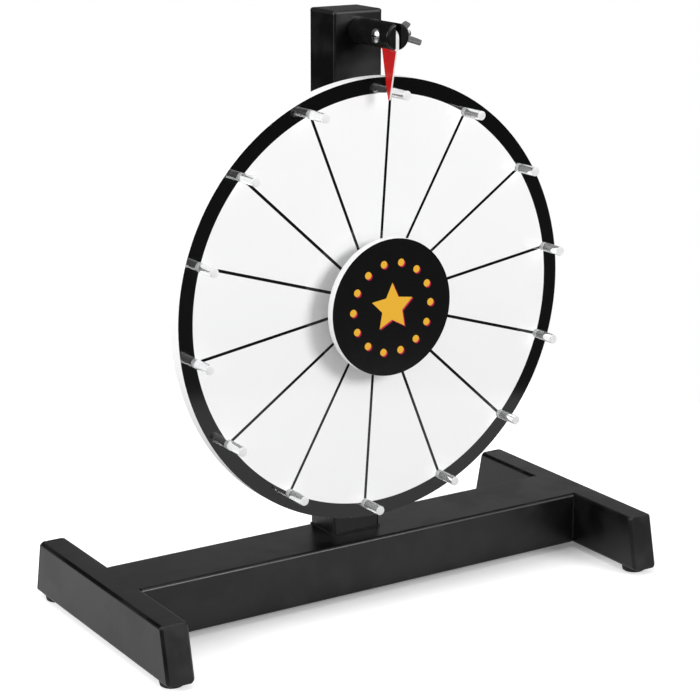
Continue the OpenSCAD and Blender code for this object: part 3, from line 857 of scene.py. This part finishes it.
acrylic = finish("clear_acrylic", clear_acrylic, {"IOR": 1.49, "Transmission Weight": 0.9})
sawn_end = finish("sawn_acrylic", sawn_acrylic, {"IOR": 1.49, "Transmission Weight": 0.25})
for i in range(peg_count):
    node = f"peg_{i + 1:02d}"
    low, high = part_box(node)
    spot = peg_spot(i)
    spot.y = low.y
    peg = rod(peg_radius, high.y - low.y, along_axle(spot), steps=48)
    round_edges(peg, [e for e in rims(peg) if e.verts[0].co.y < low.y + peg_edge], peg_edge, segments=4)
    peg.normal_update()
    for f in peg.faces:
        f.material_index = 1 if f.normal.y < -0.05 else 0
    clear = piece(node + "_rod", peg, "clear_acrylic", acrylic, sawn_end, body="wheel", nodes=[node])
    clear.visible_shadow = False


# Hub disc: a thick round badge in front of the hub, stuck on with a foam ring and printed black on its face.
# Its print is a plain star inside a ring of dots, in yellow with a red shadow, and its sawn edge is white.
badge_edge = 0.3 * mm
badge_black = (0.004, 0.004, 0.004, 1)
badge_yellow = (0.83, 0.45, 0.035, 1)
badge_red = (0.5, 0.012, 0.07, 1)
star_reach = 17 * mm
star_waist = 8.4 * mm
star_points = 5
dot_circle = 31 * mm
dot_radius = 2.5 * mm
dot_count = 14
shadow_offset = (0.9 * mm, -0.9 * mm)
foam_dark = (0.55, 0.55, 0.55, 1)
foam_light = (0.7, 0.7, 0.7, 1)


def badge_motif(place, shift):
    """1 inside the star and the dots, which are moved by shift to the right and upwards."""
    moved = place.node("VectorMath", {"operation": "SUBTRACT"}, {0: place, 1: (shift[0], 0, shift[1])})
    radius, angle = about_axle(moved)
    half = math.pi / star_points
    swing = (angle + half) % (2 * half) - half
    fold = swing.math("ABSOLUTE", swing)
    tip = Vector((star_reach, 0))
    waist = Vector((star_waist * math.cos(half), star_waist * math.sin(half)))
    side = (waist - tip).normalized()
    across = radius * fold.math("COSINE", fold) - tip.x
    along = radius * fold.math("SINE", fold)
    star = 1 - rise(along * -side.x + across * side.y, -print_blur, print_blur)
    step = 2 * math.pi / dot_count
    dot_swing = angle % step - step / 2
    dot_x = radius * dot_swing.math("COSINE", dot_swing) - dot_circle
    dot_y = radius * dot_swing.math("SINE", dot_swing)
    dots = 1 - rise(span(dot_x, dot_y), dot_radius - print_blur, dot_radius + print_blur)
    return star.math("MAXIMUM", star, dots)


def printed_badge(place):
    cloud = grain(place, size=15 * mm, detail=3.0)
    shadow = badge_motif(place, shadow_offset)
    motif = badge_motif(place, (0, 0))
    return {
        "Base Color": tint(motif, tint(shadow, badge_black, badge_red), badge_yellow),
        "Roughness": 0.16 + 0.06 * cloud,
    }


def foam_tape(place):
    cells = grain(place, size=0.6 * mm, detail=3.0)
    return mottled(cells, foam_dark, foam_light, roughness=(0.75, 0.9), depth=0.08 * mm)


keep(finish("foam_tape", foam_tape), "hub_disc_pad")
low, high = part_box("hub_disc")
badge_radius = (high.z - low.z) / 2
badge = rod(badge_radius, high.y - low.y, along_axle((0, low.y, axle_z)), steps=160)
round_edges(badge, rims(badge), badge_edge, segments=2)
print_front(badge)
piece("hub_badge", badge, "hub_print", finish("printed_badge", printed_badge), white_board,
      body="wheel", nodes=["hub_disc"])


# Pointer arm: a round steel bar bolted to the post's face, slotted upright at its front to take the pointer.
# Its front edge is rounded, and a flat on each side takes the clamp screw's head or washer.
arm_round = 1.5 * mm
arm_round_steps = 5
arm_slot = 4 * mm
arm_slot_depth = 22.7 * mm
head_seat = 4.75 * mm
washer_seat = 5.5 * mm
seat_depth = 1 * mm
clamp_hole = 2.65 * mm
arm_black = (0.003, 0.003, 0.003, 1)
arm_grey = (0.006, 0.006, 0.006, 1)
arm_low, arm_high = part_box("pointer_arm")
arm_z = (arm_low.z + arm_high.z) / 2
arm_radius = (arm_high.z - arm_low.z) / 2
seat_face = arm_radius - seat_depth
clamp_y = sum(v.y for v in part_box("clamp_washer")) / 2


def gloss_black(place):
    cloud = grain(place, size=8 * mm, detail=3.0)
    return mottled(cloud, arm_black, arm_grey, roughness=(0.22, 0.32), depth=0.04 * mm)


def along_clamp(x):
    """Puts at a place across the arm what rises along +z, turned to point right along the clamp screw."""
    return Matrix.Translation((x, clamp_y, arm_z)) @ Matrix.Rotation(math.radians(90), 4, "Y")


def clamp_drill(radius, start, end):
    """A cylinder along the clamp screw between two places across the arm."""
    return rod(radius, end - start, along_clamp(start), steps=48)


bar_section = [(0, 0)]
for i in range(arm_round_steps + 1):
    turn = math.pi / 2 * i / arm_round_steps
    bar_section.append((arm_radius - arm_round * (1 - math.sin(turn)), arm_round * (1 - math.cos(turn))))
bar_section += [(arm_radius, arm_high.y - arm_low.y), (0, arm_high.y - arm_low.y)]
arm = turned(bar_section, False, along_axle((0, arm_low.y, arm_z)), steps=96)
slot_low = Vector((-arm_slot / 2, arm_low.y - cut_margin, arm_low.z - cut_margin))
slot_high = Vector((arm_slot / 2, arm_low.y + arm_slot_depth, arm_high.z + cut_margin))
arm = combined(
    "DIFFERENCE",
    arm,
    block(slot_low, slot_high),
    clamp_drill(clamp_hole, -arm_radius, arm_radius),
    clamp_drill(washer_seat, seat_face, arm_radius + cut_margin),
    clamp_drill(head_seat, -arm_radius - cut_margin, -seat_face),
)
arm_paint = finish("gloss_black_paint", gloss_black, {"Specular IOR Level": 0.3})
piece("slotted_arm", arm, "powder_coat", arm_paint, nodes=["pointer_arm"], crease=25)


# Arm bolt: a small zinc plated hexagon bolt with a washer under its head.
# It goes through the post from behind into the end of the arm, and pulls the arm against the post.
arm_bolt_across = 10 * mm
arm_bolt_head = 4 * mm
arm_bolt_radius = 3 * mm
arm_bolt_pitch = 1 * mm
low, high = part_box("arm_bolt")
length = high.y - arm_bolt_head - low.y
place = along_axle((0, high.y - arm_bolt_head, arm_z))
bolt = hex_bolt(arm_bolt_across, arm_bolt_head, arm_bolt_radius, length, arm_bolt_pitch, place)
piece("arm_hex_bolt", bolt, "zinc_steel", zinc, nodes=["arm_bolt"], crease=30)
arm_washer = bolt_washer("arm_bolt_washer", arm_bolt_radius)
piece("arm_bolt_washer_ring", arm_washer, "zinc_steel", zinc, nodes=["arm_bolt_washer"])


# Clamp screw: a bright plated steel screw with a cross in its domed head.
# It goes through both cheeks of the arm's slot and the pointer between them, and the wing nut draws it tight.
clamp_head = 4.6 * mm
clamp_head_rise = 3.2 * mm
clamp_shank = 2.5 * mm
clamp_pitch = 0.8 * mm
clamp_cross = (1.1 * mm, 5.6 * mm, 1.6 * mm)
bright_dark = (0.66, 0.66, 0.67, 1)
bright_light = (0.82, 0.82, 0.82, 1)


def bright_plate(place):
    cloud = grain(place, size=3 * mm, detail=3.0)
    return mottled(cloud, bright_dark, bright_light, roughness=(0.28, 0.4))


low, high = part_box("clamp_screw")
under_head = low.x + clamp_head_rise
length = high.x - under_head
place = along_clamp(under_head)
screw = cross_screw(clamp_head, clamp_head_rise, clamp_shank, length, clamp_pitch, clamp_cross, place)
bright = finish("bright_plate", bright_plate, {"Metallic": 1.0})
piece("clamp_cross_screw", screw, "bright_screw", bright, recess, nodes=["clamp_screw"], crease=30)


# Wing nut and washer: a forged, zinc plated nut with two ears, and a plain ring between it and the arm.
# It is turned by hand to free or clamp the pointer. One ear points up and back, the other down and forward.
nut_base = 4.7 * mm
nut_top = 3.85 * mm
nut_rise = 6 * mm
nut_bore = 2.55 * mm
nut_edge = 0.4 * mm
ear_root = 0.95 * mm
ear_foot = 1 * mm
ear_reach = 11.5 * mm
ear_height = 14 * mm
ear_width = 4.4 * mm
ear_slope = math.radians(38)
ear_thickness = 2 * mm
ear_corner = 0.9 * mm
ear_edge = 0.4 * mm
ear_angle = math.radians(36)
nut_dark = (0.17, 0.17, 0.17, 1)
nut_light = (0.3, 0.3, 0.3, 1)
clamp_washer_bore = 2.55 * mm
clamp_washer_edge = 0.15 * mm
low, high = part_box("clamp_washer")
clamp_washer = ring(clamp_washer_bore, (high.z - low.z) / 2, high.x - low.x, along_clamp(low.x))
round_edges(clamp_washer, rims(clamp_washer), clamp_washer_edge, segments=2)
piece("clamp_washer_ring", clamp_washer, "zinc_steel", zinc, body="clamp_washer", nodes=["clamp_washer"])


def ear(turn):
    """One ear of the nut: a plate with a square end, which stands out along +y and rises along +z."""
    root = nut_bore + ear_root
    outline = [
        (root, ear_foot),
        (nut_base + ear_thickness, nut_rise / 2),
        (ear_reach, ear_height - ear_width * math.sin(ear_slope)),
        (ear_reach - ear_width * math.cos(ear_slope), ear_height),
        (root, nut_rise + ear_thickness),
    ]
    bm = bmesh.new()
    corners = [bm.verts.new((-ear_thickness / 2, y, z)) for y, z in outline]
    plate = bmesh.ops.contextual_create(bm, geom=corners)
    side = bmesh.ops.extrude_face_region(bm, geom=plate["faces"])
    moved = [v for v in side["geom"] if isinstance(v, bmesh.types.BMVert)]
    bmesh.ops.translate(bm, vec=(ear_thickness, 0, 0), verts=moved)
    bmesh.ops.recalc_face_normals(bm, faces=bm.faces)
    round_edges(bm, [e for e in bm.edges if runs_along(e, 0)], ear_corner, segments=4)
    round_edges(bm, rims(bm, 60), ear_edge, segments=3)
    bmesh.ops.rotate(bm, cent=(0, 0, 0), matrix=Matrix.Rotation(turn, 3, "Z"), verts=bm.verts)
    return bm


def dull_zinc(place):
    cloud = grain(place, size=3 * mm, detail=3.0)
    return mottled(cloud, nut_dark, nut_light, roughness=(0.42, 0.57), depth=0.04 * mm)


nut_section = [(0, 0), (nut_base, 0), (nut_top, nut_rise), (0, nut_rise)]
barrel = turned(nut_section, False)
round_edges(barrel, rims(barrel), nut_edge, segments=3)
wing = combined("UNION", barrel, ear(0), ear(math.pi))
bore = rod(nut_bore, cut_margin + ear_height, Matrix.Translation((0, 0, -cut_margin)), steps=48)
wing = combined("DIFFERENCE", wing, bore)
low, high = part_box("wing_nut")
place = along_clamp(low.x) @ Matrix.Rotation(ear_angle, 4, "Z")
bmesh.ops.transform(wing, matrix=place, verts=wing.verts)
dull = finish("dull_zinc", dull_zinc, {"Metallic": 1.0})
piece("wing_nut_forging", wing, "zinc_steel", dull, body="wing_nut", nodes=["wing_nut"], crease=35)


# Pointer: a plastic leaf with glossy red faces over a pale core, which shows along its edges.
# Its thick head is clamped in the arm's slot, and its thin blade bends as the pegs flick past.
# It is kept out of what gloss shows, so that the wheel's face stays white and the arm black.
leaf_corner = 5 * mm
leaf_shoulder = 8.8 * mm
leaf_tip = 1.3 * mm
leaf_edge = 0.25 * mm
leaf_columns = 16
arc_rows = 8
row_step = 0.7 * mm
rim_step = 0.14 * mm
rim_width = 0.55 * mm
rim_sag = 1.2 * mm
leaf_red = (0.56, 0.012, 0.012, 1)
leaf_deep_red = (0.48, 0.009, 0.009, 1)
core_white = (0.85, 0.84, 0.83, 1)
core_shade = (0.72, 0.71, 0.7, 1)


def gloss_red(place):
    cloud = grain(place, size=8 * mm, detail=3.0)
    return mottled(cloud, leaf_deep_red, leaf_red, roughness=(0.2, 0.28))


def cut_core(place):
    streak = grain(place.node("Mapping", {}, {"Vector": place, "Scale": (6, 1, 1)}), size=1 * mm, detail=3.0)
    return mottled(streak, core_shade, core_white, roughness=(0.5, 0.65))


head_low, head_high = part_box("pointer_head")
blade_low, blade_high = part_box("pointer_blade")
leaf_y = (head_low.y + head_high.y) / 2
leaf_half_width = (head_high.y - head_low.y) / 2
corner_z = head_high.z - leaf_corner
shoulder_z = arm_z - leaf_shoulder
tip_z = blade_low.z + leaf_tip


def leaf_half(z):
    """Half of the leaf's width at a height: round at the top, then straight, then tapered to a round tip."""
    if z > corner_z:
        return leaf_half_width - leaf_corner + math.sqrt(max(0, leaf_corner ** 2 - (z - corner_z) ** 2))
    if z > shoulder_z:
        return leaf_half_width
    if z > tip_z:
        return leaf_tip + (leaf_half_width - leaf_tip) * (z - tip_z) / (shoulder_z - tip_z)
    return math.sqrt(max(0, leaf_tip ** 2 - (z - tip_z) ** 2))


def head_share(y, z):
    """1 where the leaf is as thick as its head and 0 on its blade. The step between sags in the middle."""
    rim_z = blade_high.z + rim_sag * ((y - leaf_y) / leaf_half_width) ** 2
    share = min(1, max(0, (z - rim_z) / rim_width))
    return share * share * (3 - 2 * share)


heights = [corner_z + leaf_corner * math.cos(math.pi / 2 * i / arc_rows) for i in range(arc_rows + 1)]
while heights[-1] > tip_z + row_step:
    near_rim = -row_step < heights[-1] - blade_high.z < rim_sag + 2 * rim_width
    heights.append(heights[-1] - (rim_step if near_rim else row_step))
heights += [tip_z - leaf_tip * math.sin(math.pi / 2 * i / arc_rows) for i in range(arc_rows)]
leaf = bmesh.new()
bmesh.ops.create_grid(leaf, x_segments=leaf_columns, y_segments=len(heights) - 1, size=1)
for v in leaf.verts:
    z = heights[round((v.co.y + 1) / 2 * (len(heights) - 1))]
    v.co = (0, leaf_y + leaf_half(z) * v.co.x, z)
right_side = bmesh.ops.extrude_face_region(leaf, geom=leaf.faces[:])["geom"]
for v in leaf.verts:
    v.co.x = blade_low.x + (head_low.x - blade_low.x) * head_share(v.co.y, v.co.z)
for v in right_side:
    if isinstance(v, bmesh.types.BMVert):
        v.co.x = blade_high.x + (head_high.x - blade_high.x) * head_share(v.co.y, v.co.z)
bmesh.ops.recalc_face_normals(leaf, faces=leaf.faces)
round_edges(leaf, rims(leaf, 70), leaf_edge, segments=3)
leaf = combined("DIFFERENCE", leaf, clamp_drill(nut_bore, -arm_radius, arm_radius))
leaf.normal_update()
for f in leaf.faces:
    middle = f.calc_center_median()
    inside = leaf_half(middle.z) - abs(middle.y - leaf_y) > 2 * leaf_edge and tip_z < middle.z < corner_z
    f.material_index = 0 if inside or abs(f.normal.x) > 0.8 else 1
red_face = finish("gloss_red_sheet", gloss_red)
pale_core = finish("pale_cut_core", cut_core)
pointer = piece("pointer_leaf", leaf, "red_leaf", red_face, pale_core,
                body=None, nodes=["pointer_head", "pointer_blade"])
pointer.visible_glossy = False
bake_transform(pointer)


# Table: a round pale top under the object, cut off straight on the camera's left front.
# A glow lifts it into the white beyond, for the camera, in gloss and through the clear pegs.
# The glow is weak close in front of the crossbar, where the table keeps the object's soft shadow.
table_radius = 0.55
table_cut = 0.28
table_cut_way = Vector((-0.84, -0.54, 0))
table_pale = (0.36, 0.36, 0.36, 1)
table_white = (0.9, 0.9, 0.9, 1)
shadow_glow = (0.12, 0.12, 0.12, 1)
front_glow = (0.4, 0.4, 0.4, 1)
back_glow = (0.46, 0.46, 0.46, 1)
shadow_reach = 45 * mm
left_start = 160 * mm
left_end = 190 * mm
right_start = 200 * mm
right_end = 230 * mm


def pale_top(place):
    path = place.node("LightPath", {}, {}).socket.node.outputs
    clear = Field(path["Is Camera Ray"]) + Field(path["Is Transmission Ray"])
    seen = clear + Field(path["Is Glossy Ray"])
    parts = place.node("SeparateXYZ", {}, {"Vector": place}).socket.node.outputs
    x, y = Field(parts["X"]), Field(parts["Y"])
    aside = 1 - rise(x, -left_end, -left_start) + rise(x, right_start, right_end)
    behind = rise(y, bar_low.y, bar_high.y)
    front = tint(rise(bar_low.y - y, 0, shadow_reach), shadow_glow, front_glow)
    glow = tint(aside.math("MAXIMUM", aside, behind), front, back_glow)
    return {
        "Base Color": tint(clear, table_pale, table_white),
        "Emission Color": tint(seen, (0, 0, 0, 1), glow),
    }


top = bmesh.new()
bmesh.ops.create_circle(top, cap_ends=True, segments=128, radius=table_radius)
cut_off(top, table_cut_way * table_cut, table_cut_way)
table = thing("table", top, finish("pale_top", pale_top, {"Roughness": 1.0, "Emission Strength": 1.0}))


# Studio: a floor of dark cloth and a wall of it all round, which is high and leans in overhead but is cut low
# in front, up to the far right. A pale card panel stands at the back on the right.
# Gloss shows them, the camera and the clear pegs look through them, and they hold back a little of the light.
floor_z = -10 * mm
wall_radius = 2.4
wall_high = 1.7
canopy_radius = 1.5
canopy_height = 2.7
wall_front = -0.3
wall_right = 1.65
wall_low = 0.75
panel_radius = 2.3
panel_height = 1.0
panel_left = 0.5
panel_front = 0.4
cloth_black = (0.015, 0.015, 0.015, 1)
cloth_worn = (0.025, 0.025, 0.025, 1)
panel_grey = (0.54, 0.54, 0.54, 1)
panel_light = (0.6, 0.6, 0.6, 1)


def dark_cloth(place):
    return {"Base Color": tint(grain(place, size=200 * mm), cloth_black, cloth_worn)}


def grey_card(place):
    return {"Base Color": tint(grain(place, size=200 * mm), panel_grey, panel_light)}


def gloss_only(name, bm, coat):
    """A part of the studio that shows in gloss alone."""
    made = thing(name, bm, coat)
    made.visible_camera = False
    made.visible_transmission = False
    made.visible_diffuse = False


wall_section = [
    (0, floor_z), (wall_radius, floor_z), (wall_radius, wall_low),
    (wall_radius, wall_high), (canopy_radius, canopy_height),
]
wall = turned(wall_section, False)
upper = [v for v in wall.verts if v.co.z > wall_low + mm]
upper_front = [v for v in upper if v.co.y < wall_front and v.co.x < wall_right]
bmesh.ops.delete(wall, geom=upper_front, context="VERTS")
gloss_only("dark_wall", wall, finish("dark_cloth", dark_cloth, {"Roughness": 1.0}))
panel = turned([(panel_radius, 0), (panel_radius, panel_height)], False)
outside = [v for v in panel.verts if v.co.x < panel_left or v.co.y < panel_front]
bmesh.ops.delete(panel, geom=outside, context="VERTS")
gloss_only("grey_panel", panel, finish("grey_card", grey_card, {"Roughness": 1.0}))


# Light: a large soft box in front on the right, a weak one overhead and a small one on the left.
# A white world all round fills in, and is pure white to the camera, in gloss and through the clear pegs.
studio_level = 0.585
key_power = 80
key_size = 1.5
key_place = Vector((1.35, -3.1, 1.5))
top_power = 6
top_size = 1.2
top_place = Vector((-0.4, 0.1, 2.0))
fill_power = 18
fill_size = 0.8
fill_place = Vector((-1.75, 0.2, 0.85))
aim = Vector((0, 0, 0.2))

for name, power, size, spot in (
    ("key_soft_box", key_power, key_size, key_place),
    ("overhead_soft_box", top_power, top_size, top_place),
    ("left_soft_box", fill_power, fill_size, fill_place),
):
    lamp = bpy.data.lights.new(name, "AREA")
    lamp.energy = power
    lamp.shape = "DISK"
    lamp.size = size
    holder = bpy.data.objects.new(name, lamp)
    holder.location = spot
    holder.rotation_euler = (aim - spot).to_track_quat("-Z", "Y").to_euler()
    bpy.context.scene.collection.objects.link(holder)

world = bpy.data.worlds.new("white_studio")
bpy.context.scene.world = world
world.use_nodes = True
rays = world.node_tree.nodes.new("ShaderNodeLightPath").outputs
seen = Field(rays["Is Camera Ray"]) + Field(rays["Is Glossy Ray"]) + Field(rays["Is Transmission Ray"])
level = studio_level + (1 - studio_level) * seen.math("MINIMUM", seen, 1.0)
sky = world.node_tree.nodes["Background"]
sky.inputs["Color"].default_value = (1, 1, 1, 1)
world.node_tree.links.new(level.socket, sky.inputs["Strength"])
bpy.context.scene.view_settings.view_transform = "Standard"


# Camera: a long lens about a metre and a half away, above and to the left of the wheel's front.
# Its place, its turn and its slight roll are fitted to the photograph.
camera_place = Vector((-0.7595, -1.1851, 0.5549))
camera_yaw = math.radians(32.61)
camera_pitch = math.radians(15.165)
camera_roll = math.radians(0.135)
camera_lens = 107.88
camera_sensor = 36

lens = bpy.data.cameras.new("camera")
lens.lens = camera_lens
lens.sensor_width = camera_sensor
camera = bpy.data.objects.new("camera", lens)
camera.matrix_world = (
    Matrix.Translation(camera_place)
    @ Matrix.Rotation(-camera_yaw, 4, "Z")
    @ Matrix.Rotation(math.pi / 2 - camera_pitch, 4, "X")
    @ Matrix.Rotation(camera_roll, 4, "Z")
)
bpy.context.scene.collection.objects.link(camera)
bpy.context.scene.camera = camera
